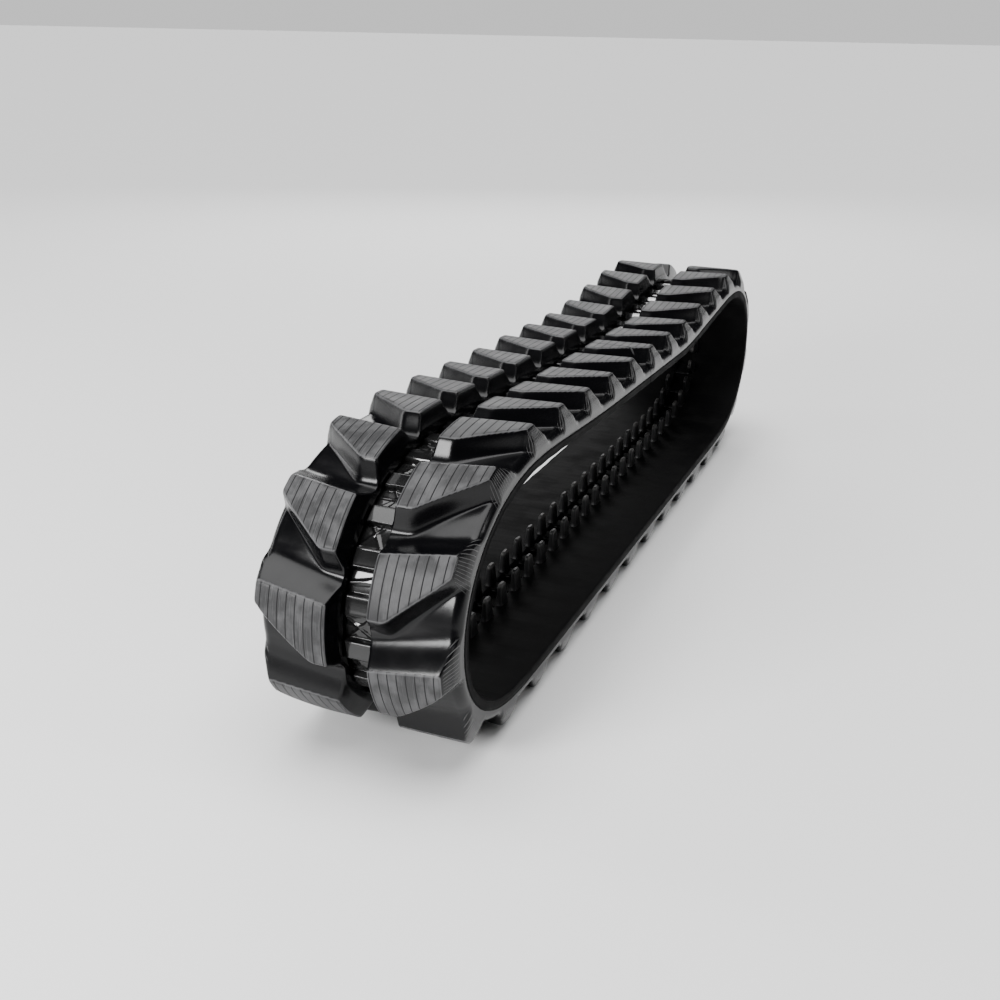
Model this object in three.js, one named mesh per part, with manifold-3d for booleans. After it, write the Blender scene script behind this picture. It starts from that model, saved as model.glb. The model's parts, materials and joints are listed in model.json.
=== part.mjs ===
// Rubber track for a small tracked machine: an endless belt of moulded rubber over 62 forged
// steel cores and two bands of steel cord. Millimetres, +Z up, Y along the track, front at -Y.
//
// The belt is described by three numbers: s, the way along the pitch line from the middle of
// the bottom run; x, across the belt; and h, the height above the pitch line, outwards.
// Each core is stiff, so the belt is a chain of straight chords that bends between its cores.

import * as THREE from 'three';
import { ConvexGeometry } from 'three/addons/geometries/ConvexGeometry.js';
import { mergeVertices } from 'three/addons/utils/BufferGeometryUtils.js';
import Module from 'manifold-3d';

const wasm = await Module();
wasm.setup();

// The belt
const CORES = 62;
const PITCH = 48;
const HALF_WIDTH = 115;
const INNER_FACE = -11.5; // h of the roller side
const TREAD_FACE = 13.5; // h of the tread side between the lugs
const LUG_FACE = 37.5; // h of the lugs' wearing faces
const FIT = 0.3; // gap between pieces that touch
const OVERLAP = 1; // how far a shape runs into the one it is joined to or cut from

// The loop's shape: smooth turns of the chords' direction, in degrees, about a core number
const START_DIRECTION = 180;
const FRONT_LOWER_TURN = { turn: -108, core: 11, reach: 5 };
const FRONT_UPPER_TURN = { turn: -76, core: 15, reach: 5.5 };
const TOP_EASE = { turn: 2, core: 23, reach: 3 };
const TOP_RISE = { turn: 7, core: 32, reach: 1.5 };
const REAR_TURN = { turn: -185, core: 43.5, reach: 7.5 };
const FIRST_BENT = 6; // chords before this one and from LAST_BENT on lie flat on the ground
const LAST_BENT = 52;

// The centre channel: rubber bars over the cores, thin films over the drive windows. On the
// roller side a wide groove is left open, where the cores' hubs and guide horns stand.
const CHANNEL_HALF = 17.7;
const FILM = { bottom: -1.7, top: 3 };
const BAR = { half: 16.5, along: 11, top: 9.5 };
const GROOVE_HALF = 24;

// Steel cord bands
const CORD = { inner: 20, outer: 106, bottom: 0, top: 3 };

// Forged cores, cut from one front outline: a wing on each side and two guide horns
const CORE = { half: 95, along: 12, bottom: -8.2, top: -2 };
const HORN = { inner: 12.5, outer: 23.5, tipInner: 14.5, tipOuter: 20.5, tip: -39.5, tipShare: 0.7 };
const WEB = { inner: 15, outer: 21, bottom: -7, top: -3.5 };
const POCKET_TOP = 1; // h, above the carcass, so that the pockets are open

// Lugs: corners as [s from the tip, x], for the wearing face and for the foot on the belt
const LUG_TIP = -3; // where the tip lies along its core
const LUG_TOP_OUTLINE = [[0, 23], [0, 43], [41, 106], [62.5, 106], [52.5, 23]];
const LUG_FOOT_OUTLINE = [[-13, 18.5], [-13, 42], [46, 115], [86, 115], [69, 18.5]];
const LUG_ROOT = 7; // h that the flanks run down to, inside the tread rubber
const LUG_CUT = 9; // h where the foot is trimmed to follow the belt's bends

// The five stretches of belt that move against each other, by their first core; the last one
// runs on through the rear bend, the bottom and the front bend
const SPANS = [
  { name: 'front_span', first: 18 },
  { name: 'middle_front', first: 24 },
  { name: 'middle_rear', first: 28 },
  { name: 'rear_span', first: 32 },
  { name: 'lower_run', first: 38 },
];
// The last stretch's carcass is in three lengths, parted where the ground run meets the bends
const LOWER_RUN_LENGTHS = [
  { name: 'rear_bend', first: 38 },
  { name: 'ground_run', first: LAST_BENT },
  { name: 'front_bend', first: FIRST_BENT + CORES },
];
const SEAM = 2.4; // open gap between two stretches
const LUG_SETBACK = 0.5; // a lug cut by a seam stops this far short of its belt's end

const RUBBER = { color: 0x17181a, roughness: 0.55, metalness: 0 };
const INNER_RUBBER = { color: 0x1c1d1f, roughness: 0.7, metalness: 0 };
const FORGED_STEEL = { color: 0x4a4b4d, roughness: 0.5, metalness: 0.8 };
const BRASSED_CORD = { color: 0x8c7a4e, roughness: 0.4, metalness: 0.9 };

// ---- the loop -------------------------------------------------------------------------

// 0 before the turn, 1 after it, with a smooth cosine change of curvature between
function share(core, { core: middle, reach }) {
  const t = THREE.MathUtils.clamp((core - middle) / reach, -1, 1);
  return (1 + t + Math.sin(Math.PI * t) / Math.PI) / 2;
}

function chordDirection(core) {
  const turns = [FRONT_LOWER_TURN, FRONT_UPPER_TURN, TOP_EASE, TOP_RISE, REAR_TURN];
  const turned = turns.reduce((sum, each) => sum + each.turn * share(core, each), 0);
  return THREE.MathUtils.degToRad(START_DIRECTION + turned);
}

// Joints of the chain, as [y, z]; the last bit of gap is shared out over the bent chords
function chainJoints() {
  const joints = [new THREE.Vector2(0, 0)];
  for (let core = 0; core < CORES; core++) {
    const a = chordDirection(core);
    joints.push(new THREE.Vector2(Math.cos(a), Math.sin(a)).multiplyScalar(PITCH).add(joints[core]));
  }
  const gap = joints[CORES].clone();
  return joints.slice(0, CORES).map((joint, i) => {
    const done = THREE.MathUtils.clamp((i - FIRST_BENT) / (LAST_BENT - FIRST_BENT), 0, 1);
    return joint.addScaledVector(gap, -done).add(new THREE.Vector2(0, LUG_FACE));
  });
}

const JOINTS = chainJoints();
const joint = (i) => JOINTS[((i % CORES) + CORES) % CORES];

function chordFrame(core) {
  const along = joint(core + 1).clone().sub(joint(core)).normalize();
  const out = new THREE.Vector2(-along.y, along.x);
  const middle = joint(core).clone().add(joint(core + 1)).multiplyScalar(0.5);
  return { along, out, middle };
}

// The point at height h on the mitre line through a joint
function mitre(i, h) {
  const before = chordFrame(i - 1).out;
  const after = chordFrame(i).out;
  const line = before.clone().add(after).divideScalar(1 + before.dot(after));
  return joint(i).clone().addScaledVector(line, h);
}

// Belt coordinates to space
function place(s, x, h) {
  const core = Math.floor(s / PITCH);
  const point = mitre(core, h).lerp(mitre(core + 1, h), s / PITCH - core);
  return new THREE.Vector3(x, point.x, point.y);
}

// ---- solids ---------------------------------------------------------------------------

function solid(geometry) {
  geometry.deleteAttribute('normal');
  geometry.deleteAttribute('uv');
  const merged = mergeVertices(geometry, 1e-4);
  const vertProperties = new Float32Array(merged.attributes.position.array);
  const triVerts = new Uint32Array(merged.index.array);
  return new wasm.Manifold(new wasm.Mesh({ numProp: 3, vertProperties, triVerts }));
}

function geometryOf(manifold) {
  const mesh = manifold.getMesh();
  const geometry = new THREE.BufferGeometry();
  geometry.setAttribute('position', new THREE.BufferAttribute(mesh.vertProperties, 3));
  geometry.setIndex(new THREE.BufferAttribute(mesh.triVerts, 1));
  geometry.computeVertexNormals();
  return geometry;
}

// A closed mesh over equal rings of points that are copies of one outline
function prism(points, outline) {
  const n = outline.length;
  const last = points.length - n;
  const index = [];
  for (let i = 0; i < last; i += n) {
    for (let j = 0; j < n; j++) {
      const a = i + j;
      const b = i + ((j + 1) % n);
      index.push(a, b + n, b, a, a + n, b + n);
    }
  }
  const corners = outline.map(([x, h]) => new THREE.Vector2(x, h));
  for (const [a, b, c] of THREE.ShapeUtils.triangulateShape(corners, [])) {
    index.push(a, b, c, last + a, last + c, last + b);
  }
  return new THREE.BufferGeometry().setFromPoints(points).setIndex(index);
}

// A section, as [x, h] corners turning from +x towards +h, carried along the belt
function strip(from, to, section) {
  const stations = [from];
  for (let s = (Math.floor(from / PITCH) + 1) * PITCH; s < to; s += PITCH) stations.push(s);
  stations.push(to);
  return solid(prism(stations.flatMap((s) => section.map(([x, h]) => place(s, x, h))), section));
}

const rectangle = (x0, x1, h0, h1) => [[x0, h0], [x1, h0], [x1, h1], [x0, h1]];

const mirrored = (section) => section.map(([x, h]) => [-x, h]).reverse();

// A straight-sided body through corners given in one chord's own frame as [x, along, h]
function block(core, corners) {
  const { along, out, middle } = chordFrame(core);
  const points = corners.map(([x, a, h]) => {
    const p = middle.clone().addScaledVector(along, a).addScaledVector(out, h);
    return new THREE.Vector3(x, p.x, p.y);
  });
  return solid(new ConvexGeometry(points));
}

const slab = (x0, x1, a, h) => [[x0, -a, h], [x1, -a, h], [x1, a, h], [x0, a, h]];

function box(core, x0, x1, a, h0, h1) {
  return block(core, [...slab(x0, x1, a, h0), ...slab(x0, x1, a, h1)]);
}

const joined = (solids) => wasm.Manifold.union(solids);

// ---- cores ----------------------------------------------------------------------------

// One forged core: its front outline carried over its length, with the horns' tips drawn in
function core(number) {
  const half = [
    [HORN.inner, CORE.bottom], [HORN.tipInner, HORN.tip], [HORN.tipOuter, HORN.tip],
    [HORN.outer, CORE.bottom], [CORE.half, CORE.bottom], [CORE.half, CORE.top],
  ];
  const outline = [...half, ...mirrored(half)];
  const { along, out, middle } = chordFrame(number);
  const points = [-CORE.along, CORE.along].flatMap((a) =>
    outline.map(([x, h]) => {
      const reach = h === HORN.tip ? a * HORN.tipShare : a;
      const p = middle.clone().addScaledVector(along, reach).addScaledVector(out, h);
      return new THREE.Vector3(x, p.x, p.y);
    })
  );
  return solid(prism(points, outline));
}

// The webs between the horn roots that tie the two cores of a lug pitch
function webs(first) {
  const from = (first + 0.5) * PITCH + CORE.along - OVERLAP;
  const to = (first + 1.5) * PITCH - CORE.along + OVERLAP;
  const section = rectangle(WEB.inner, WEB.outer, WEB.bottom, WEB.top);
  return [strip(from, to, section), strip(from, to, mirrored(section))];
}

const corePair = (first) => joined([core(first), core(first + 1), ...webs(first)]);

// The pockets of one core's wings, open at the top and towards the groove
function pockets(number) {
  const span = [CORE.along + FIT, CORE.bottom - FIT, POCKET_TOP];
  const outer = CORE.half + FIT;
  const inner = GROOVE_HALF - OVERLAP;
  return [box(number, inner, outer, ...span), box(number, -outer, -inner, ...span)];
}

// ---- rubber and cords -----------------------------------------------------------------

function carcass(first, next, from, to) {
  const half = [
    [GROOVE_HALF, FILM.bottom], [GROOVE_HALF, INNER_FACE], [HALF_WIDTH, INNER_FACE],
    [HALF_WIDTH, -FIT], [CHANNEL_HALF, -FIT], [CHANNEL_HALF, FILM.top],
  ];
  const body = [strip(from, to, [...half, ...mirrored(half)])];
  const hollows = [];
  for (let number = first; number < next; number++) {
    body.push(box(number, -BAR.half, BAR.half, BAR.along, FILM.bottom + OVERLAP, BAR.top));
    hollows.push(...pockets(number));
  }
  return joined(body).subtract(joined(hollows));
}

// The part of an outline that lies between two values of s
function clipped(outline, from, to) {
  let corners = outline;
  for (const [limit, sign] of [[from, 1], [to, -1]]) {
    const inside = ([s]) => sign * (s - limit) >= 0;
    corners = corners.flatMap((p, i) => {
      const q = corners[(i + 1) % corners.length];
      const kept = inside(p) ? [p] : [];
      if (inside(p) !== inside(q)) {
        const t = (limit - p[0]) / (q[0] - p[0]);
        kept.push([limit, p[1] + t * (q[1] - p[1])]);
      }
      return kept;
    });
  }
  return corners;
}

// side is -1 for the left row, which starts on even cores, and 1 for the right row
function lug(number, side, from, to) {
  const tip = (number + 0.5) * PITCH + LUG_TIP;
  const level = (outline, h) =>
    clipped(outline.map(([s, x]) => [s + tip, x]), from + LUG_SETBACK, to - LUG_SETBACK)
      .map(([s, x]) => place(s, side * x, h));
  // the foot's slopes run on down to LUG_ROOT, just under the tread face
  const spread = (TREAD_FACE - LUG_ROOT) / (LUG_FACE - TREAD_FACE);
  const foot = LUG_FOOT_OUTLINE.map(([s, x], i) => {
    const [topS, topX] = LUG_TOP_OUTLINE[i];
    return [s + (s - topS) * spread, Math.min(x + (x - topX) * spread, HALF_WIDTH)];
  });
  return solid(new ConvexGeometry([...level(LUG_TOP_OUTLINE, LUG_FACE), ...level(foot, LUG_ROOT)]));
}

function tread(side, first, next, from, to) {
  const edge = CHANNEL_HALF + FIT;
  const section = [
    [edge, CORD.top + FIT], [CORD.outer + FIT, CORD.top + FIT], [CORD.outer + FIT, CORD.bottom],
    [HALF_WIDTH, CORD.bottom], [HALF_WIDTH, TREAD_FACE], [edge, TREAD_FACE],
  ];
  const lugs = [];
  const footEnd = Math.max(...LUG_FOOT_OUTLINE.map(([s]) => s));
  const parity = side > 0 ? 1 : 0;
  for (let number = first - 2 + parity; number < next; number += 2) {
    const tip = (number + 0.5) * PITCH + LUG_TIP;
    if (tip + footEnd > from) lugs.push(lug(number, side, from, to));
  }
  const below = rectangle(0, HALF_WIDTH + OVERLAP, -LUG_FACE, LUG_CUT);
  const [body, trim] = [section, below].map((each) => strip(from, to, side > 0 ? each : mirrored(each)));
  return body.add(joined(lugs).subtract(trim));
}

function cordBand(side, from, to) {
  const section = rectangle(CORD.inner, CORD.outer, CORD.bottom, CORD.top);
  return strip(from, to, side > 0 ? section : mirrored(section));
}

// ---- assembly -------------------------------------------------------------------------

const group = new THREE.Group();

function add(name, manifold, finish) {
  const mesh = new THREE.Mesh(geometryOf(manifold), new THREE.MeshStandardMaterial(finish));
  mesh.name = name;
  group.add(mesh);
}

// A stretch's carcass, in one length or several that keep a fitting gap between them
function addCarcass(lengths, next, from, to) {
  lengths.forEach(({ name, first }, i) => {
    const after = i + 1 < lengths.length ? lengths[i + 1].first : next;
    const start = i > 0 ? first * PITCH + FIT / 2 : from;
    const end = after < next ? after * PITCH - FIT / 2 : to;
    add(`carcass_${name}`, carcass(first, after, start, end), INNER_RUBBER);
  });
}

SPANS.forEach(({ name, first }, i) => {
  const next = i + 1 < SPANS.length ? SPANS[i + 1].first : SPANS[0].first + CORES;
  const from = first * PITCH + SEAM / 2;
  const to = next * PITCH - SEAM / 2;
  const lengths = name === 'lower_run' ? LOWER_RUN_LENGTHS : [{ name, first }];
  addCarcass(lengths, next, from, to);
  add(`tread_left_${name}`, tread(-1, first, next, from, to), RUBBER);
  add(`tread_right_${name}`, tread(1, first, next, from, to), RUBBER);
  add(`cord_band_left_${name}`, cordBand(-1, from, to), BRASSED_CORD);
  add(`cord_band_right_${name}`, cordBand(1, from, to), BRASSED_CORD);
  for (let number = first; number < next; number += 2) {
    const label = String(((number % CORES) / 2) + 1).padStart(2, '0');
    add(`core_pair_${label}`, corePair(number), FORGED_STEEL);
  }
});

// Stand the belt with the middle of its length on the origin
const bounds = new THREE.Box3().setFromObject(group);
group.position.y = -(bounds.min.y + bounds.max.y) / 2;
group.updateMatrixWorld(true);

export default group;
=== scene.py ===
import json
import math

import bpy
import numpy as np
from mathutils import Matrix, Vector


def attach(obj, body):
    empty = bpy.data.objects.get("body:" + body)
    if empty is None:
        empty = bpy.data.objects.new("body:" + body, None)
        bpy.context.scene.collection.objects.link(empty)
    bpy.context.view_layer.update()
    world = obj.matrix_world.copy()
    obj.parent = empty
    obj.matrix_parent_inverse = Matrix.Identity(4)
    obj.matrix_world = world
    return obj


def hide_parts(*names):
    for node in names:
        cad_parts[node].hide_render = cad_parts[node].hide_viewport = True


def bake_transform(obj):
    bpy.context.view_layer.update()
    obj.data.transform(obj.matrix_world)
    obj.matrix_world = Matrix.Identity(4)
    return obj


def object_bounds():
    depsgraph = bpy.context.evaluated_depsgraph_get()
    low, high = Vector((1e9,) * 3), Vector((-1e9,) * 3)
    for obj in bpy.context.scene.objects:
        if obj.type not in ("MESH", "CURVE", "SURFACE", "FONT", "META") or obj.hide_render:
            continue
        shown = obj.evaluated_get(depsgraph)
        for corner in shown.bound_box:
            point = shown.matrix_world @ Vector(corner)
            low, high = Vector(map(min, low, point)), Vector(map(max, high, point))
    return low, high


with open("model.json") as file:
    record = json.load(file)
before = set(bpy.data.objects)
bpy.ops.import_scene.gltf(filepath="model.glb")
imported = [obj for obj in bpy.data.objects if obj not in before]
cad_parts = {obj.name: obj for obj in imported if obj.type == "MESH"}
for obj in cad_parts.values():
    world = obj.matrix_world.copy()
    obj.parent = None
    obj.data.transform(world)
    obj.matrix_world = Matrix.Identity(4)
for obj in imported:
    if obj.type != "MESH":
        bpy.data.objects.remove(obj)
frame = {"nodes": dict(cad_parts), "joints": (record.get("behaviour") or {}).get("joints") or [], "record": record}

cad_low, cad_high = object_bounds()

# ---- The belt's line ---------------------------------------------------------------------
# The belt is one endless moulding bent round a sprocket and an idler. Each steel core stays
# straight and the rubber between two cores bends, so the line runs through the cores' middles.
# Belt coordinates are millimetres: s along the pitch line, x across, h outwards from the line.

MM = 0.001
CORES = 62
PITCH = 48
LUG_FACE = 37.5
ROUND_THE_LOOP = CORES * PITCH
TURNS = [(-108, 11, 5), (-76, 15, 5.5), (2, 23, 3), (7, 32, 1.5), (-185, 43.5, 7.5)]
FIRST_BENT = 6
LAST_BENT = 52


def chord_directions():
    """Each core's direction: half a turn from +Y, then each bend as degrees, core and reach.

    A bend's share grows from 0 to 1 over its reach as (1 + t + sin(pi t) / pi) / 2.
    """
    degrees = np.full(CORES, 180.0)
    for turn, middle, reach in TURNS:
        t = np.clip((np.arange(CORES) - middle) / reach, -1, 1)
        degrees += turn * (1 + t + np.sin(np.pi * t) / np.pi) / 2
    return np.radians(degrees)


def chain_joints():
    """Joints between the cores as [y, z]: chords laid end to end, the small gap shared out."""
    angle = chord_directions()
    steps = PITCH * np.stack([np.cos(angle), np.sin(angle)], 1)
    ends = np.concatenate([np.zeros((1, 2)), np.cumsum(steps, 0)])
    done = np.clip((np.arange(CORES) - FIRST_BENT) / (LAST_BENT - FIRST_BENT), 0, 1)
    return ends[:CORES] - done[:, None] * ends[CORES] + [0, LUG_FACE]


joint_named = {j["name"]: j for j in frame["joints"]}
FRONT_HINGE, REAR_HINGE = 18, 38
FRONT_BACK_HINGE, REAR_BACK_HINGE = 24, 32
SEAM_JOINT = 28
joints = chain_joints()
joints[:, 0] += joint_named["front_sag"]["pos_m"][1] / MM - joints[FRONT_HINGE, 0]
chords = np.roll(joints, -1, 0) - joints
middles = joints + chords / 2
alongs = chords / np.linalg.norm(chords, axis=1)[:, None]


def belt_line(s):
    """Point and direction on the line: a cubic from each core's middle to the next one's."""
    core = np.asarray(s, float) / PITCH - 0.5
    first = np.floor(core).astype(int)
    t = (core - first)[..., None]
    a, b = middles[first % CORES], middles[(first + 1) % CORES]
    reach = np.linalg.norm(b - a, axis=-1, keepdims=True)
    da, db = alongs[first % CORES] * reach, alongs[(first + 1) % CORES] * reach
    point = (2 * t**3 - 3 * t**2 + 1) * a + (t**3 - 2 * t**2 + t) * da
    point += (3 * t**2 - 2 * t**3) * b + (t**3 - t**2) * db
    slope = 6 * (t**2 - t) * (a - b) + (3 * t**2 - 4 * t + 1) * da + (3 * t**2 - 2 * t) * db
    return point, slope / np.linalg.norm(slope, axis=-1, keepdims=True)


def place(s, x, h):
    """Belt coordinates to metres in the frame: out from the line by h along its normal."""
    s, x, h = np.broadcast_arrays(s, x, h)
    point, along = belt_line(s)
    y = point[..., 0] - along[..., 1] * h
    z = point[..., 1] + along[..., 0] * h
    return np.stack([x, y, z], -1) * MM


# The stretches that the skins are made in: name, first and last joint, the bodies that it lies on,
# the hinge that it lies over, and the part of a CAD node's name that it stands for.
STRETCHES = [
    ("front_bend", -4, 16, ["lower_run"], None, "lower_run"),
    ("front_crest", 16, 21, ["lower_run", "front_span"], FRONT_HINGE, "front_span"),
    ("front_top", 21, SEAM_JOINT, ["front_span", "middle_front"], FRONT_BACK_HINGE, "middle_front"),
    ("rear_top", SEAM_JOINT, 35, ["middle_rear", "rear_span"], REAR_BACK_HINGE, "middle_rear"),
    ("rear_crest", 35, 40, ["rear_span", "lower_run"], REAR_HINGE, "rear_span"),
    ("rear_bend", 40, 58, ["lower_run"], None, "lower_run"),
]
SEAM_GAP = 1.9


def rows(first, last, step):
    """Values of s down a stretch, with one more at each end to take the end's normals from."""
    start = first * PITCH + (SEAM_GAP / 2 if first == SEAM_JOINT else 0)
    stop = last * PITCH - (SEAM_GAP / 2 if last == SEAM_JOINT else 0)
    count = round((stop - start) / step)
    return start + (stop - start) / count * np.arange(-1, count + 2)


def mesh_from(name, points, quads, caps=(), smooth_normals=None):
    """A mesh from arrays of points, of quads and of flat end faces given by their corners."""
    mesh = bpy.data.meshes.new(name)
    corners = np.concatenate([quads.ravel(), *[np.asarray(cap) for cap in caps]]).astype(np.int32)
    sizes = np.concatenate([np.full(len(quads), 4), [len(cap) for cap in caps]]).astype(np.int32)
    starts = np.concatenate([[0], np.cumsum(sizes)[:-1]]).astype(np.int32)
    mesh.vertices.add(len(points))
    mesh.vertices.foreach_set("co", points.astype(np.float32).ravel())
    mesh.loops.add(len(corners))
    mesh.loops.foreach_set("vertex_index", corners)
    mesh.polygons.add(len(sizes))
    mesh.polygons.foreach_set("loop_start", starts)
    smooth = np.arange(len(sizes)) < len(quads)
    mesh.update(calc_edges=True)
    mesh.polygons.foreach_set("use_smooth", smooth)
    mesh.validate()
    if smooth_normals is not None:
        flats = np.zeros(len(sizes) * 3, np.float32)
        mesh.polygons.foreach_get("normal", flats)
        per_corner = smooth_normals[corners].copy()
        capped = np.repeat(~smooth, sizes)
        per_corner[capped] = np.repeat(flats.reshape(-1, 3), sizes, 0)[capped]
        mesh.normals_split_custom_set(per_corner)
    piece = bpy.data.objects.new(name, mesh)
    bpy.context.scene.collection.objects.link(piece)
    return piece


def tube(rings):
    """Quads between neighbouring rings of points, and a flat face over the first and the last."""
    count, around = rings.shape[:2]
    index = np.arange(count * around).reshape(count, around)
    after = np.roll(index, -1, 1)
    quads = np.stack([index[:-1], after[:-1], after[1:], index[1:]], -1).reshape(-1, 4)
    return quads, [index[0][::-1], index[-1]]


def skin(name, grid):
    """A closed tube of rubber: rows along the belt, each one a ring round the section.

    The rows past both ends give the normals there, so that two stretches meet without a line.
    """
    down = grid[2:] - grid[:-2]
    round_it = np.roll(grid, -1, 1) - np.roll(grid, 1, 1)
    normals = np.cross(round_it[1:-1], down)
    normals /= np.maximum(np.linalg.norm(normals, axis=-1, keepdims=True), 1e-12)
    inner = grid[1:-1]
    quads, caps = tube(inner)
    return mesh_from(name, inner.reshape(-1, 3), quads, caps, normals.reshape(-1, 3))


def fix_to_bodies(piece, bodies, hinge):
    """Rides one body where there is no hinge; at a hinge its place is baked into the mesh and it rides no body."""
    if hinge is None:
        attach(piece, bodies[0])
        return
    before, after = (Vector(place((hinge + d) * PITCH, 0, 0)) for d in (-0.5, 0.5))
    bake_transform(piece)


class Signal:
    """A value or colour in a material's nodes, with the arithmetic written as Python."""

    def __init__(self, tree, socket):
        self.tree, self.socket = tree, socket

    def node(self, kind, settings=None, out=0, **inputs):
        """Adds a node: its settings first, then values or links by socket name or i0, i1."""
        made = self.tree.nodes.new(kind)
        for key, value in (settings or {}).items():
            setattr(made, key, value)
        for key, value in inputs.items():
            indexed = key[0] == "i" and key[1:].isdigit()
            socket = made.inputs[int(key[1:])] if indexed else made.inputs[key.replace("_", " ")]
            if isinstance(value, Signal):
                self.tree.links.new(value.socket, socket)
            else:
                socket.default_value = value
        return Signal(self.tree, made.outputs[out])

    def math(self, operation, *others):
        """One Math node over this value and any others."""
        given = {f"i{i}": value for i, value in enumerate((self, *others))}
        return self.node("ShaderNodeMath", {"operation": operation}, **given)

    def __add__(self, other):
        return self.math("ADD", other)

    __radd__ = __add__

    def __mul__(self, other):
        return self.math("MULTIPLY", other)

    __rmul__ = __mul__

    def __sub__(self, other):
        return self.math("SUBTRACT", other)

    def __rsub__(self, other):
        return self.node("ShaderNodeMath", {"operation": "SUBTRACT"}, i0=other, i1=self)

    def __truediv__(self, other):
        return self.math("DIVIDE", other)

    def band(self, low, high):
        """0 below low and 1 above high, eased; the other way round where low is the larger."""
        settings = {"interpolation_type": "SMOOTHSTEP"}
        return self.node("ShaderNodeMapRange", settings, Value=self, From_Min=low, From_Max=high)

    def mix(self, dark, light):
        """A colour between two, by this value."""
        settings = {"data_type": "RGBA"}
        return self.node("ShaderNodeMix", settings, out=2, i0=self, i6=dark, i7=light)


def new_material(name):
    """A material with its nodes cleared down to one shader, and a Signal to start from."""
    material = bpy.data.materials.new(name)
    material.use_nodes = True
    tree = material.node_tree
    shader = tree.nodes["Principled BSDF"]
    return material, tree, shader, Signal(tree, None)


# ---- Tread rubber and its lugs -----------------------------------------------------------
# The outside of the belt is moulded in one with two rows of chevron lugs, each row shifted by
# one pitch against the other. Flanks keep the mould's gloss; wearing faces are dull and scored.

TREAD_FACE = 13.5
LUG_RISE = LUG_FACE - TREAD_FACE
LUG_PITCH = 2 * PITCH
LUG_TIP = PITCH / 2 - 3
LUG_TOP = np.array([[0, 23], [0, 43], [41, 106], [62.5, 106], [52.5, 23]], float)
LUG_FOOT = np.array([[-13, 18.5], [-13, 42], [46, 115], [86, 115], [69, 18.5]], float)
FLANK_LEAST_WIDTH = 3.0
CORNER_ROUNDING = 2.2
MOULD_PASSES = 3
EDGE_ROUNDING = 0.5
ROOT_ROUNDING = 4.6
CHANNEL_WALL, WALL_LIP = 18.0, 18.15
TREAD_STEP = 1.25
CORD_TOP = 3.3
CORD_EDGE = 106.3


def depth_inside(outline, i, u, x):
    """How far inside the outline's i-th side a point lies."""
    a, b = outline[i], outline[(i + 1) % len(outline)]
    ds, dx = (b - a) / np.linalg.norm(b - a)
    return (u - a[0]) * dx - (x - a[1]) * ds


def lug_height(u, x):
    """Height over the tread face at u along a lug and x across.

    Each flank is a ramp from its foot's edge to the face's edge. The lug is the lowest ramp or
    the face, joined by a soft minimum, and runs out into the tread by a soft maximum.
    """
    ramps = []
    for i in range(len(LUG_TOP)):
        foot = depth_inside(LUG_FOOT, i, u, x)
        width = np.maximum(foot - depth_inside(LUG_TOP, i, u, x), FLANK_LEAST_WIDTH)
        ramps.append(LUG_RISE * foot / width)
    lowest = np.minimum.reduce(ramps)
    lowest = lowest - CORNER_ROUNDING * np.log(
        sum(np.exp(-np.minimum(ramp - lowest, 60) / CORNER_ROUNDING) for ramp in ramps)
    )
    capped = np.minimum(lowest, LUG_RISE) - EDGE_ROUNDING * np.log1p(
        np.exp(-np.abs(lowest - LUG_RISE) / EDGE_ROUNDING)
    )
    return np.maximum(capped, 0) + ROOT_ROUNDING * np.log1p(np.exp(-np.abs(capped) / ROOT_ROUNDING))


def blurred(field, passes):
    """Rounds a field off by a 1-2-1 average along both its ways, as many times as asked."""
    for _ in range(passes):
        for axis in (0, 1):
            ends = [(1, 1) if k == axis else (0, 0) for k in (0, 1)]
            padded = np.pad(field, ends, mode="edge")
            low, high = (np.take(padded, np.arange(field.shape[axis]) + k, axis) for k in (0, 2))
            field = (low + 2 * field + high) / 4
    return field


def row_height(s, x, side):
    """Height of one row of lugs over the tread: each lug, or the one before it if higher."""
    start = LUG_TIP + (PITCH if side > 0 else 0)
    u = np.mod(s - start, LUG_PITCH)
    return np.maximum(lug_height(u, x), lug_height(u - LUG_PITCH, x))


BELT_EDGE = 115
SHOULDER_RADIUS = 11
SHOULDER_START = BELT_EDGE - SHOULDER_RADIUS
SHOULDER_FOOT = TREAD_FACE - SHOULDER_RADIUS
SHOULDER_FILL = (0.5, 8)
TREAD_BOTTOM = -0.25
WALL_MIDDLE = 8
MASK_DEPTH, MASK_REACH = 1.6, 1.2
ROUND_THE_SHOULDER = np.radians(np.arange(0, 85, 6))
ACROSS = np.concatenate([
    np.arange(18.5, 25, 0.75), np.arange(25.2, SHOULDER_START - 0.7, 1.35),
    SHOULDER_START + SHOULDER_RADIUS * np.sin(ROUND_THE_SHOULDER),
])
WALL_SHARES = np.array([0.8, 0.6, 0.4, 0.2, 0])


def eased(value, low, high):
    """0 at low, 1 at high, with a smooth start and stop."""
    t = np.clip((value - low) / (high - low), 0, 1)
    return t * t * (3 - 2 * t)


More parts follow.
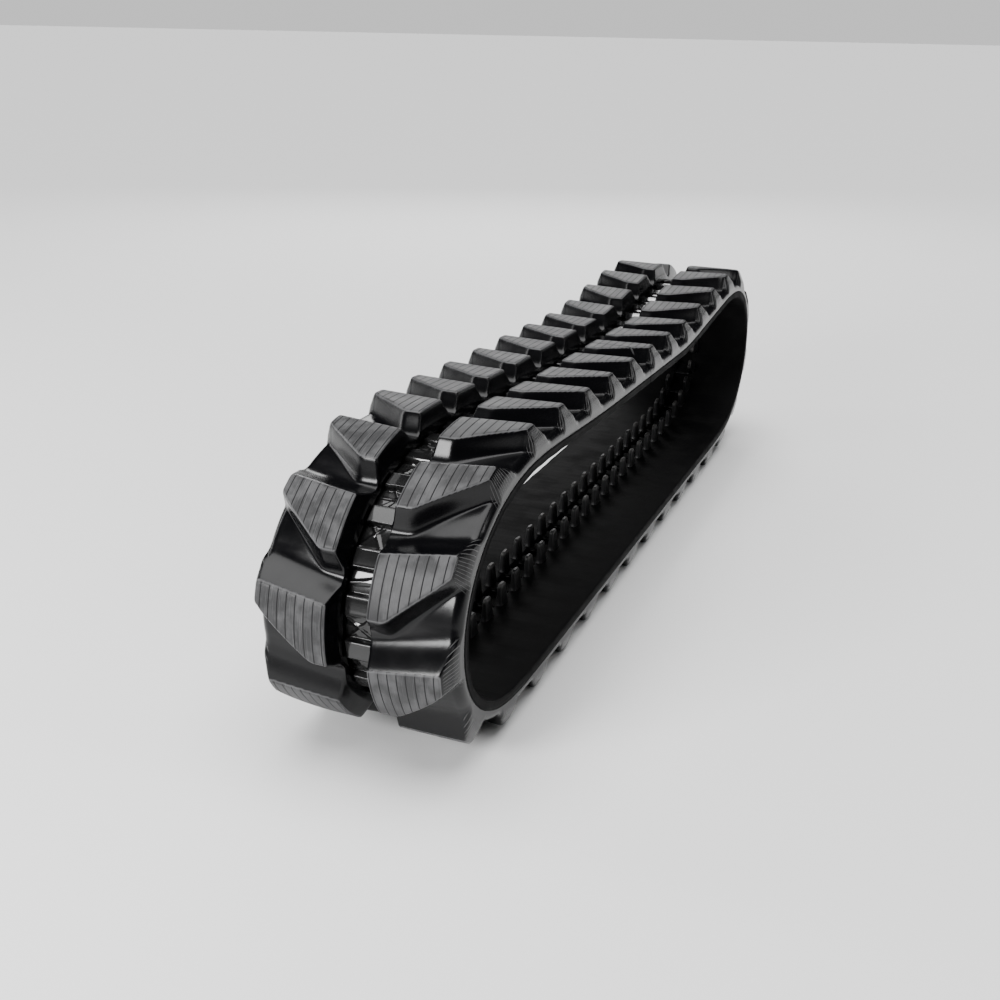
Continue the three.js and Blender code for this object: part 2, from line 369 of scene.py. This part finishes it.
def tread_grid(s, side):
    """One row's tread as rings: up the channel wall, over the lugs, down the edge and back.

    Between lugs the face rolls over a broad round shoulder; a lug's end fills it up to the edge.
    """
    extra = TREAD_STEP * np.arange(1, MOULD_PASSES + 1)
    pad = np.concatenate([s[0] - extra[::-1], s, s[-1] + extra])
    top = blurred(row_height(pad[:, None], ACROSS[None], side), MOULD_PASSES)
    top = top[MOULD_PASSES:-MOULD_PASSES]
    face = np.clip((top - LUG_RISE + MASK_DEPTH) / MASK_REACH, 0, 1)
    past = np.maximum(ACROSS - SHOULDER_START, 0)
    drop = SHOULDER_RADIUS - np.sqrt(SHOULDER_RADIUS**2 - past**2)
    over = TREAD_FACE + top - drop * (1 - eased(top, *SHOULDER_FILL))
    one = np.ones((len(s), 1))
    lip = TREAD_FACE - 1.2 + 0.8 * top[:, :1]
    wall = np.concatenate([one * CORD_TOP, one * WALL_MIDDLE, lip], 1)
    edge = SHOULDER_FOOT + (over[:, -1:] - SHOULDER_FOOT) * WALL_SHARES
    back = one * [1.0, TREAD_BOTTOM, TREAD_BOTTOM, CORD_TOP]
    edge_x = [BELT_EDGE] * (len(WALL_SHARES) + 2) + [CORD_EDGE] * 2
    x = np.concatenate([[CHANNEL_WALL, CHANNEL_WALL, WALL_LIP], ACROSS, edge_x])
    h = np.concatenate([wall, over, edge, back], 1)
    # Marks the lug faces, whose grey in the tread's material is partly wear and partly painted sheen.
    face_wear_and_sheen = np.concatenate([0 * wall, face, 0 * edge, 0 * back], 1)
    grid = place(s[:, None], side * x[None], h)
    if side < 0:
        grid, face_wear_and_sheen, x = grid[:, ::-1], face_wear_and_sheen[:, ::-1], x[::-1]
    return grid, face_wear_and_sheen, x


def lug_uv(piece, s, x, side):
    """UV map in metres: along the lug from its tip, and across; whole for every face."""
    start = LUG_TIP + (PITCH if side > 0 else 0)
    inner = s[1:-1]
    lug = np.floor(((inner[:-1] + inner[1:]) / 2 - start + 2) / LUG_PITCH) * LUG_PITCH + start
    u0, u1 = inner[:-1] - lug, inner[1:] - lug
    across, after = x, np.roll(x, -1)
    shape = (len(u0), len(x))
    us = np.stack([np.broadcast_to(u[:, None], shape) for u in (u0, u0, u1, u1)], -1)
    vs = np.stack([np.broadcast_to(v[None], shape) for v in (across, after, after, across)], -1)
    uv = np.stack([us, vs], -1).reshape(-1, 2) * MM
    layer = piece.data.uv_layers.new(name="lug")
    values = np.zeros((len(piece.data.loops), 2), np.float32)
    values[: len(uv)] = uv
    layer.data.foreach_set("uv", values.ravel())


LINE_SPACING = 0.0104
LINE_HALF = 0.0004
FAN_CORNER = (0.052, 0.085)
FAN_LINES = 52


def tread_rubber():
    """Black rubber: glossy flanks, and satin faces scored by mould lines and scratches, grey partly from wear and
    partly as painted sheen.

    A painted highlight runs in a thin bright line along the face's edges, and fine ridges fan over the shoulders,
    painted lighter as highlights.
    """
    material, tree, shader, start = new_material("tread rubber")
    face = start.node("ShaderNodeAttribute", {"attribute_name": "wearing_face"}, out=2)
    uv = start.node("ShaderNodeUVMap", {"uv_map": "lug"})
    u = start.node("ShaderNodeSeparateXYZ", out=0, Vector=uv)
    v = start.node("ShaderNodeSeparateXYZ", out=1, Vector=uv)
    place_in_space = start.node("ShaderNodeTexCoord", out=3)
    side = start.node("ShaderNodeSeparateXYZ", out=0, Vector=place_in_space)
    left = side.band(0.01, -0.01)
    cloud = start.node("ShaderNodeTexNoise", Vector=place_in_space, Scale=46.0, Detail=6.0)
    mottle = start.node("ShaderNodeTexNoise", Vector=place_in_space, Scale=190.0, Detail=4.0)
    grain = start.node("ShaderNodeTexNoise", Vector=place_in_space, Scale=900.0, Detail=3.0)
    stretched = start.node("ShaderNodeCombineXYZ", X=u * 22.0, Y=v * 900.0)
    streak = start.node("ShaderNodeTexNoise", Vector=stretched, Scale=1.0, Detail=3.0)
    score = streak.band(0.54, 0.7) * (0.45 + 0.55 * left)
    across = (v / LINE_SPACING).math("FRACT")
    from_line = (across - 0.5).math("ABSOLUTE") * LINE_SPACING
    line = from_line.band(LINE_HALF * 2, LINE_HALF) * face
    angle = (v - FAN_CORNER[1]).math("ARCTAN2", u - FAN_CORNER[0])
    ray = (angle * FAN_LINES).math("SINE").band(0.7, 0.95)
    shoulder = v.band(0.1066, 0.1078) * v.band(0.1149, 0.1142) * (1 - face)
    fan = ray * shoulder * u.band(0.034, 0.042) * u.band(0.092, 0.084)
    dust = cloud.band(0.38, 0.66) * (0.55 + 0.45 * mottle)
    # The face's rounded edge gets a thin bright line: a painted highlight.
    rim = face.band(0.02, 0.35) * face.band(0.98, 0.6)
    # The grey over the lug faces is partly worn rubber, with dust and scores, and partly painted sheen.
    grey = face * (0.22 + 0.5 * dust + 0.45 * score) * (1 - 0.9 * line) + 0.45 * rim
    colour = grey.mix((0.0015, 0.0015, 0.002, 1), (0.12, 0.12, 0.123, 1))
    # The fan lines on the shoulders are painted lighter grey: a painted highlight on their fine ridges.
    colour_with_ridge_highlights = (fan * 0.7).mix(colour, (0.09, 0.09, 0.09, 1))
    tree.links.new(colour_with_ridge_highlights.socket, shader.inputs["Base Color"])
    rough = 0.16 + 0.12 * cloud + face * (0.2 + 0.2 * dust) + 0.1 * score * face + 0.25 * line
    tree.links.new(rough.socket, shader.inputs["Roughness"])
    shader.inputs["Specular IOR Level"].default_value = 0.26
    relief = fan * 1.1 - line * 0.9 + score * face * 0.35
    relief = relief + grain * (0.04 + 0.1 * face) + mottle * face * 0.25 + cloud * 0.3
    bump = start.node("ShaderNodeBump", Strength=0.8, Distance=0.0006, Height=relief)
    tree.links.new(bump.socket, shader.inputs["Normal"])
    return material


tread_finish = tread_rubber()
for name, first, last, bodies, hinge, span in STRETCHES:
    for side_name, side in (("left", -1), ("right", 1)):
        s = rows(first, last, TREAD_STEP)
        grid, face_wear_and_sheen, x = tread_grid(s, side)
        piece = skin(f"tread_{side_name}_{name}", grid)
        lug_uv(piece, s, np.abs(x), side)
        mask = piece.data.attributes.new("wearing_face", "FLOAT", "POINT")
        mask.data.foreach_set("value", face_wear_and_sheen[1:-1].astype(np.float32).ravel())
        piece.data.materials.append(tread_finish)
        fix_to_bodies(piece, bodies, hinge)
        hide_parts(f"tread_{side_name}_{span}")

# ---- Carcass with the centre channel -----------------------------------------------------
# The rubber of the roller side, moulded round the cores and cords. In the middle a raised bar
# covers each core, and a thin film of rubber closes each drive window between two cores.

INNER_FACE = -11.5
CARCASS_TOP = -0.3
CHANNEL_HALF, CARCASS_WALL = 17.7, 17.75
FILM_TOP, FILM_SAG, BAR_TOP, BAR_RIM = 3.0, 1.2, 9.5, 0.5
BAR_HALF_LENGTH, BAR_HALF_WIDTH = 10.8, 16.3
CREASES, CREASE_WIDTH = 6, 1.3
LONG_CREASE, SHORT_CREASE = 1.3, 1.2
WINDOW_HALF_LENGTH, WINDOW_HALF_WIDTH = 12.5, 13.5
FILM_BOTTOM = -1.7
HUB_FACE = -9.2


def channel_top(s, x):
    """The channel from outside: rimmed bars over the cores, and creased film over the windows.

    Each film sags a little and has creases, straight ridges whose slant and place change from
    window to window; one long crease is always there, and the others come and go.
    """
    from_core = np.mod(s, PITCH) - PITCH / 2
    window = np.floor(s / PITCH + 0.5)
    from_window = s - window * PITCH
    which = np.mod(window, CORES)
    film = FILM_TOP - FILM_SAG + 0 * x
    for crease in range(CREASES):
        slant = 0.6 * np.sin(which * 2.4 + crease * 1.9) + (0.7 if crease % 2 else -0.4)
        offset = 5 * np.sin(which * 3.7 + crease * 2.3) * (crease > 0)
        across = from_window * np.cos(slant) - x * np.sin(slant) - offset
        comes_and_goes = SHORT_CREASE * np.clip(np.sin(which * 5.1 + crease), 0, 1)
        strength = LONG_CREASE if crease == 0 else comes_and_goes
        film = film + strength * np.exp(-np.abs(across / CREASE_WIDTH) ** 1.4)
    bar = eased(np.abs(from_core), BAR_HALF_LENGTH + 0.9, BAR_HALF_LENGTH - 0.5)
    bar = bar * eased(np.abs(x), BAR_HALF_WIDTH + 0.8, BAR_HALF_WIDTH - 0.3)
    rim = np.exp(-(((np.abs(from_core) - BAR_HALF_LENGTH + 1.2) / 0.8) ** 2)) * BAR_RIM
    return film + (BAR_TOP - film - BAR_RIM + rim) * bar


def roller_side(s, x):
    """The belt from inside: flat roller paths, hubs over the cores and recessed windows."""
    from_window = np.abs(s - np.floor(s / PITCH + 0.5) * PITCH)
    wing = 0.35 * eased(from_window, 9, 15) * eased(np.abs(x), 112, 96)
    inside = eased(np.abs(x), WINDOW_HALF_WIDTH + 1, WINDOW_HALF_WIDTH - 0.6)
    window = inside * eased(from_window, WINDOW_HALF_LENGTH + 1, WINDOW_HALF_LENGTH - 0.8)
    h = INNER_FACE - wing + (HUB_FACE - INNER_FACE) * inside
    return h + (FILM_BOTTOM - h) * window


CHANNEL_SIDE = CHANNEL_HALF - np.array([0, 0.5, 1, 1.5, 2.1])
CHANNEL_ACROSS = np.concatenate([-CHANNEL_SIDE, np.arange(-14.5, 15, 1.45), CHANNEL_SIDE[::-1]])
PATH_ACROSS = np.array([112.4, 105, 97, 88, 76, 64, 52, 42, 34, 28, 24, 21, 18, 16])
LANE_ACROSS = np.array([14.6, 14.1, 13.6, 13.1, 12.4, 11, 8, 4, 0])
# Down the belt's edge: how far it stands proud, its height, and how much of the wander it takes.
EDGE_PROUD = np.array([0, 0, 0, 0.5, 0, -0.1, 0.3, -0.3, -1.4])
EDGE_DOWN = np.array([CARCASS_TOP, -4, -7.8, -8.4, -9, -9.8, -10.4, -11, -11.4])
EDGE_WANDERS = np.array([0, 0, 0.6, 1, 1, 1, 1, 0.5, 0])
FLASH_WAVES, FLASH_WANDER = (28, 65), 0.35


def carcass_grid(s):
    """The carcass as rings: across the channel, out to the right edge, and back underneath.

    Two thin lines of flash run along each edge near the roller side and wander a little.
    """
    one = np.ones((len(s), 1))
    wave = sum(np.sin(2 * np.pi * n * s / ROUND_THE_LOOP) for n in FLASH_WAVES)[:, None]
    wave = wave * FLASH_WANDER
    channel = channel_top(s[:, None], CHANNEL_ACROSS[None])
    edge_x = BELT_EDGE + EDGE_PROUD
    edge = EDGE_DOWN + wave * EDGE_WANDERS
    half = np.concatenate([PATH_ACROSS, LANE_ACROSS])
    under_x = np.concatenate([half, -half[-2::-1]])
    under = roller_side(s[:, None], under_x[None])
    x = np.concatenate(
        [CHANNEL_ACROSS, [CARCASS_WALL], edge_x, under_x, -edge_x[::-1], [-CARCASS_WALL]])
    h = np.concatenate([channel, one * CARCASS_TOP, edge, under, edge[:, ::-1], one * CARCASS_TOP], 1)
    glossy = np.arange(len(x)) < len(CHANNEL_ACROSS)
    return place(s[:, None], x[None], h), glossy


def inner_rubber():
    """Dull black rubber with patches of dust; the channel keeps the mould's wet gloss."""
    material, tree, shader, start = new_material("inner rubber")
    glossy = start.node("ShaderNodeAttribute", {"attribute_name": "channel_gloss"}, out=2)
    place_in_space = start.node("ShaderNodeTexCoord", out=3)
    cloud = start.node("ShaderNodeTexNoise", Vector=place_in_space, Scale=24.0, Detail=6.0)
    speck = start.node("ShaderNodeTexNoise", Vector=place_in_space, Scale=420.0, Detail=4.0)
    dust = cloud.band(0.42, 0.72) * (0.4 + 0.6 * speck)
    colour = dust.mix((0.0012, 0.0012, 0.0014, 1), (0.006, 0.006, 0.006, 1))
    tree.links.new(colour.socket, shader.inputs["Base Color"])
    rough = 0.62 + 0.2 * dust + 0.1 * speck - 0.3 * glossy
    tree.links.new(rough.socket, shader.inputs["Roughness"])
    shader.inputs["Specular IOR Level"].default_value = 0.08
    tree.links.new((glossy * 0.9).socket, shader.inputs["Coat Weight"])
    shader.inputs["Coat Roughness"].default_value = 0.1
    relief = speck * 0.12 + cloud * 0.5
    bump = start.node("ShaderNodeBump", Strength=0.7, Distance=0.0008, Height=relief)
    tree.links.new(bump.socket, shader.inputs["Normal"])
    return material


CARCASS_STEP = 1.3
# The lower run's carcass is three CAD lengths, and the two bends made here stand for them.
CARCASS_LENGTHS = {"front_bend": ["front_bend", "ground_run"], "rear_bend": ["rear_bend"]}
carcass_finish = inner_rubber()
for name, first, last, bodies, hinge, span in STRETCHES:
    grid, glossy = carcass_grid(rows(first, last, CARCASS_STEP))
    piece = skin(f"carcass_{name}", grid)
    mask = piece.data.attributes.new("channel_gloss", "FLOAT", "POINT")
    mask.data.foreach_set("value", np.tile(glossy, len(grid) - 2).astype(np.float32))
    piece.data.materials.append(carcass_finish)
    fix_to_bodies(piece, bodies, hinge)
    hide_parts(*(f"carcass_{length}" for length in CARCASS_LENGTHS.get(name, [span])))

# ---- Forged cores with guide horns -------------------------------------------------------
# Each core is one drop forging: a flat wing to each side in the rubber, and two tapered guide
# horns that stand out of the roller side under a thin skin of moulded rubber.

HORN_BASE, HORN_TIP = -8.0, -39.5
HORN_MIDDLE, HORN_LEAN = 18, 0.5
HORN_HALF_ALONG, TAPER_ALONG = 12, 3.6
HORN_HALF_ACROSS, TAPER_ACROSS = 5.3, 2.3
FLARE, FLARE_LEVEL, FLARE_REACH = 2.2, 0.1, 0.09
DOME_START, TIP_SHARE = 0.86, 0.55
HORN_LEVELS = np.concatenate([np.linspace(0, DOME_START, 13), [0.9, 0.94, 0.97, 0.99, 1]])
HORN_AROUND = 32
HORN_SQUARENESS, WING_SQUARENESS = 0.5, 0.4
WING_HALF, WING_AROUND, WING_STATIONS = 95, 20, 39
WING_HALF_ALONG, WING_HALF_THICK, WING_MIDDLE = 11.6, 2.9, -5.1
WING_END = 0.94


def rounded_box_ring(count, squareness):
    """A unit superellipse: cosine and sine raised to a power below one, keeping their signs."""
    turn = np.linspace(0, 2 * np.pi, count, endpoint=False)
    c, s = np.cos(turn), np.sin(turn)
    return np.sign(c) * np.abs(c) ** squareness, np.sign(s) * np.abs(s) ** squareness


def horn(side):
    """One horn in its core's own millimetres: a superellipse that tapers, flares and domes."""
    a, b = rounded_box_ring(HORN_AROUND, HORN_SQUARENESS)
    level = HORN_LEVELS[:, None]
    up_the_dome = np.clip(level - DOME_START, 0, 1) / (1 - DOME_START)
    dome = np.sqrt(np.clip(1 - up_the_dome**2, 0, 1)) * (1 - TIP_SHARE) + TIP_SHARE
    flare = FLARE * np.clip(1 - np.abs(level - FLARE_LEVEL) / FLARE_REACH, 0, 1) ** 2
    half_along = (HORN_HALF_ALONG - TAPER_ALONG * level) * dome + flare
    half_across = (HORN_HALF_ACROSS - TAPER_ACROSS * level) * dome + flare * 0.5
    x = side * (HORN_MIDDLE - HORN_LEAN * level + b[None] * half_across)
    h = HORN_BASE + (HORN_TIP - HORN_BASE) * level + 0 * a[None]
    points = np.stack([x, a[None] * half_along, h], -1)
    return points if side > 0 else points[:, ::-1]


def wings():
    """The core's bar from wing tip to wing tip: a rounded section, thinner towards the tips."""
    a, b = rounded_box_ring(WING_AROUND, WING_SQUARENESS)
    x = np.linspace(-WING_HALF, WING_HALF, WING_STATIONS)[:, None]
    out = np.abs(x) / WING_HALF
    end = np.sqrt(np.clip(1 - np.clip((out - WING_END) / (1 - WING_END), 0, 1) ** 2, 0.05, 1))
    half_along = (WING_HALF_ALONG - 2.6 * out**2) * end
    half_thick = (WING_HALF_THICK - 1.1 * out**2) * end
    return np.stack([x + 0 * a, a * half_along, WING_MIDDLE + b * half_thick], -1)


def in_frame(core, points):
    """A core's own millimetres to metres: x across, then along its chord, then outwards."""
    along = alongs[core % CORES]
    y = middles[core % CORES][0] + points[..., 1] * along[0] - points[..., 2] * along[1]
    z = middles[core % CORES][1] + points[..., 1] * along[1] + points[..., 2] * along[0]
    return np.stack([points[..., 0], y, z], -1) * MM


def core_pair(name, first):
    """Two neighbouring cores as one piece, with how near its tip each horn point lies."""
    points, quads, caps, tips, base = [], [], [], [], 0
    for core in (first, first + 1):
        for shape, is_horn in ((wings(), 0), (horn(-1), 1), (horn(1), 1)):
            faces, ends = tube(shape)
            quads.append(faces + base)
            caps.extend(end + base for end in ends)
            near_tip = (shape[..., 2] - HORN_BASE) / (HORN_TIP - HORN_BASE) * is_horn
            tips.append(near_tip.ravel())
            points.append(in_frame(core, shape).reshape(-1, 3))
            base += len(points[-1])
    piece = mesh_from(name, np.concatenate(points), np.concatenate(quads), caps)
    mask = piece.data.attributes.new("horn_tip", "FLOAT", "POINT")
    mask.data.foreach_set("value", np.concatenate(tips).astype(np.float32))
    return piece


def horn_skin():
    """Black rubber over dark steel: rubbed thin and shinier towards the horn's tip."""
    material, tree, shader, start = new_material("horn skin")
    tip = start.node("ShaderNodeAttribute", {"attribute_name": "horn_tip"}, out=2)
    place_in_space = start.node("ShaderNodeTexCoord", out=3)
    cloud = start.node("ShaderNodeTexNoise", Vector=place_in_space, Scale=70.0, Detail=5.0)
    pit = start.node("ShaderNodeTexNoise", Vector=place_in_space, Scale=600.0, Detail=3.0)
    rubbed = tip.band(0.8, 1.0) * cloud.band(0.4, 0.6)
    colour = rubbed.mix((0.004, 0.004, 0.0045, 1), (0.07, 0.068, 0.066, 1))
    tree.links.new(colour.socket, shader.inputs["Base Color"])
    tree.links.new((0.3 + 0.25 * cloud).socket, shader.inputs["Roughness"])
    shader.inputs["Specular IOR Level"].default_value = 0.26
    tree.links.new((rubbed * 0.6).socket, shader.inputs["Metallic"])
    relief = pit * 0.2 + cloud * 0.5
    bump = start.node("ShaderNodeBump", Strength=0.6, Distance=0.0006, Height=relief)
    tree.links.new(bump.socket, shader.inputs["Normal"])
    return material


core_finish = horn_skin()
body_of_node = {n: b for b, ns in frame["record"]["behaviour"]["bodies"].items() for n in ns}
for number in range(CORES // 2):
    node = f"core_pair_{number + 1:02d}"
    piece = core_pair(f"cores_{number + 1:02d}", 2 * number)
    piece.data.materials.append(core_finish)
    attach(piece, body_of_node[node])
    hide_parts(node)

# ---- Steel cord bands --------------------------------------------------------------------
# Two bands of brass-plated cords lie inside the rubber, one to each side of the channel. They
# stay the CAD solids, since the rubber hides them; the finish shows the cords side by side.

CORD_SPACING = 0.0027
CORD_LAY = 2600.0


def brassed_cord():
    """Brass-plated wire: ridges across the band for the cords, with a fine slanting twist; the darker brass
    between the cords and along the twist is painted shade.
    """
    material, tree, shader, start = new_material("brassed cord")
    place_in_space = start.node("ShaderNodeTexCoord", out=3)
    x = start.node("ShaderNodeSeparateXYZ", out=0, Vector=place_in_space)
    y = start.node("ShaderNodeSeparateXYZ", out=1, Vector=place_in_space)
    across = x * (2 * math.pi / CORD_SPACING)
    ridge = across.math("SINE") * 0.5 + 0.5
    twist = ((x + y) * CORD_LAY).math("SINE") * 0.5 + 0.5
    # The brass darkens towards the grooves between the cords and along the twist: painted shade.
    colour = (ridge * (0.7 + 0.3 * twist)).mix((0.06, 0.045, 0.02, 1), (0.5, 0.39, 0.2, 1))
    tree.links.new(colour.socket, shader.inputs["Base Color"])
    tree.links.new((0.55 - 0.2 * ridge).socket, shader.inputs["Roughness"])
    shader.inputs["Metallic"].default_value = 0.9
    relief = ridge + twist * 0.25
    bump = start.node("ShaderNodeBump", Strength=0.8, Distance=0.0006, Height=relief)
    tree.links.new(bump.socket, shader.inputs["Normal"])
    return material


cord_finish = brassed_cord()
for node, cad_object in frame["nodes"].items():
    if node.startswith("cord_band"):
        cad_object.data.materials.clear()
        cad_object.data.materials.append(cord_finish)

# ---- Floor, light and camera -------------------------------------------------------------
# A plain pale floor and plain soft studio light: a softbox in front for the near bend, one far
# behind for the top run, one at each side, and a wide soft light from above for the floor.

FLOOR_HALF, FLOOR_BELOW = 60, 0.0005
floor_mesh = bpy.data.meshes.new("floor")
floor_corners = [(-FLOOR_HALF, -FLOOR_HALF), (FLOOR_HALF, -FLOOR_HALF),
                 (FLOOR_HALF, FLOOR_HALF), (-FLOOR_HALF, FLOOR_HALF)]
floor_z = cad_low.z - FLOOR_BELOW
floor_mesh.from_pydata([(x, y, floor_z) for x, y in floor_corners], [], [(0, 1, 2, 3)])
floor = bpy.data.objects.new("floor", floor_mesh)
bpy.context.scene.collection.objects.link(floor)
floor_paint, _, floor_shader, _ = new_material("pale floor")
floor_shader.inputs["Base Color"].default_value = (0.86, 0.86, 0.86, 1)
floor_shader.inputs["Roughness"].default_value = 0.9
floor_mesh.materials.append(floor_paint)

# The glossy rubber mirrors a dark room with a pale band round the floor's edge, and the camera
# itself sees a pale backdrop.
PALE = (0.8, 0.8, 0.8, 1)
world = bpy.data.worlds.new("studio")
bpy.context.scene.world = world
world.use_nodes = True
sky = Signal(world.node_tree, None)
height = sky.node("ShaderNodeSeparateXYZ", out=2, Vector=sky.node("ShaderNodeTexCoord", out=0))
background = world.node_tree.nodes["Background"]
room = height.band(0.07, 0.03).mix((0.035, 0.036, 0.038, 1), PALE)
seen = sky.node("ShaderNodeLightPath", out=0)
shade = seen.mix(room, PALE)
world.node_tree.links.new(shade.socket, background.inputs["Color"])


def softbox(name, where, at, size, power):
    """A rectangular light that faces a point."""
    light = bpy.data.lights.new(name, "AREA")
    light.shape, light.size, light.size_y, light.energy = "RECTANGLE", *size, power
    lamp = bpy.data.objects.new(name, light)
    lamp.location = where
    lamp.rotation_euler = (Vector(at) - Vector(where)).to_track_quat("-Z", "Y").to_euler()
    bpy.context.scene.collection.objects.link(lamp)


softbox("front", (-0.8, -2.5, 1.15), (0, -0.6, 0.2), (0.9, 0.6), 64)
softbox("behind", (-1.5, 3.2, 1.7), (0, 0.2, 0.3), (2.2, 0.7), 36)
softbox("left", (-2.4, -0.5, 1.3), (0, -0.2, 0.2), (0.3, 2.0), 16)
softbox("right", (2.4, -0.2, 1.3), (0, 0, 0.2), (0.3, 2.0), 16)
above = bpy.data.lights.new("above", "SUN")
above.energy, above.angle = 4.4, math.radians(60)
above_lamp = bpy.data.objects.new("above", above)
bpy.context.scene.collection.objects.link(above_lamp)

CAMERA_PLACE = (0.548, -1.644, 0.751)
AZIMUTH, ELEVATION, ROLL = (math.radians(a) for a in (22.2, 21.6, 0.9))
forward = Vector((-math.sin(AZIMUTH) * math.cos(ELEVATION),
                  math.cos(AZIMUTH) * math.cos(ELEVATION), -math.sin(ELEVATION)))
level_right = forward.cross(Vector((0, 0, 1))).normalized()
level_up = level_right.cross(forward)
right = level_right * math.cos(ROLL) + level_up * math.sin(ROLL)
up = level_up * math.cos(ROLL) - level_right * math.sin(ROLL)
camera_data = bpy.data.cameras.new("camera")
camera_data.sensor_width = 36
camera_data.lens = 43.68
camera = bpy.data.objects.new("camera", camera_data)
turned = Matrix((right, up, -forward)).transposed().to_4x4()
camera.matrix_world = Matrix.Translation(CAMERA_PLACE) @ turned
bpy.context.scene.collection.objects.link(camera)
bpy.context.scene.camera = camera
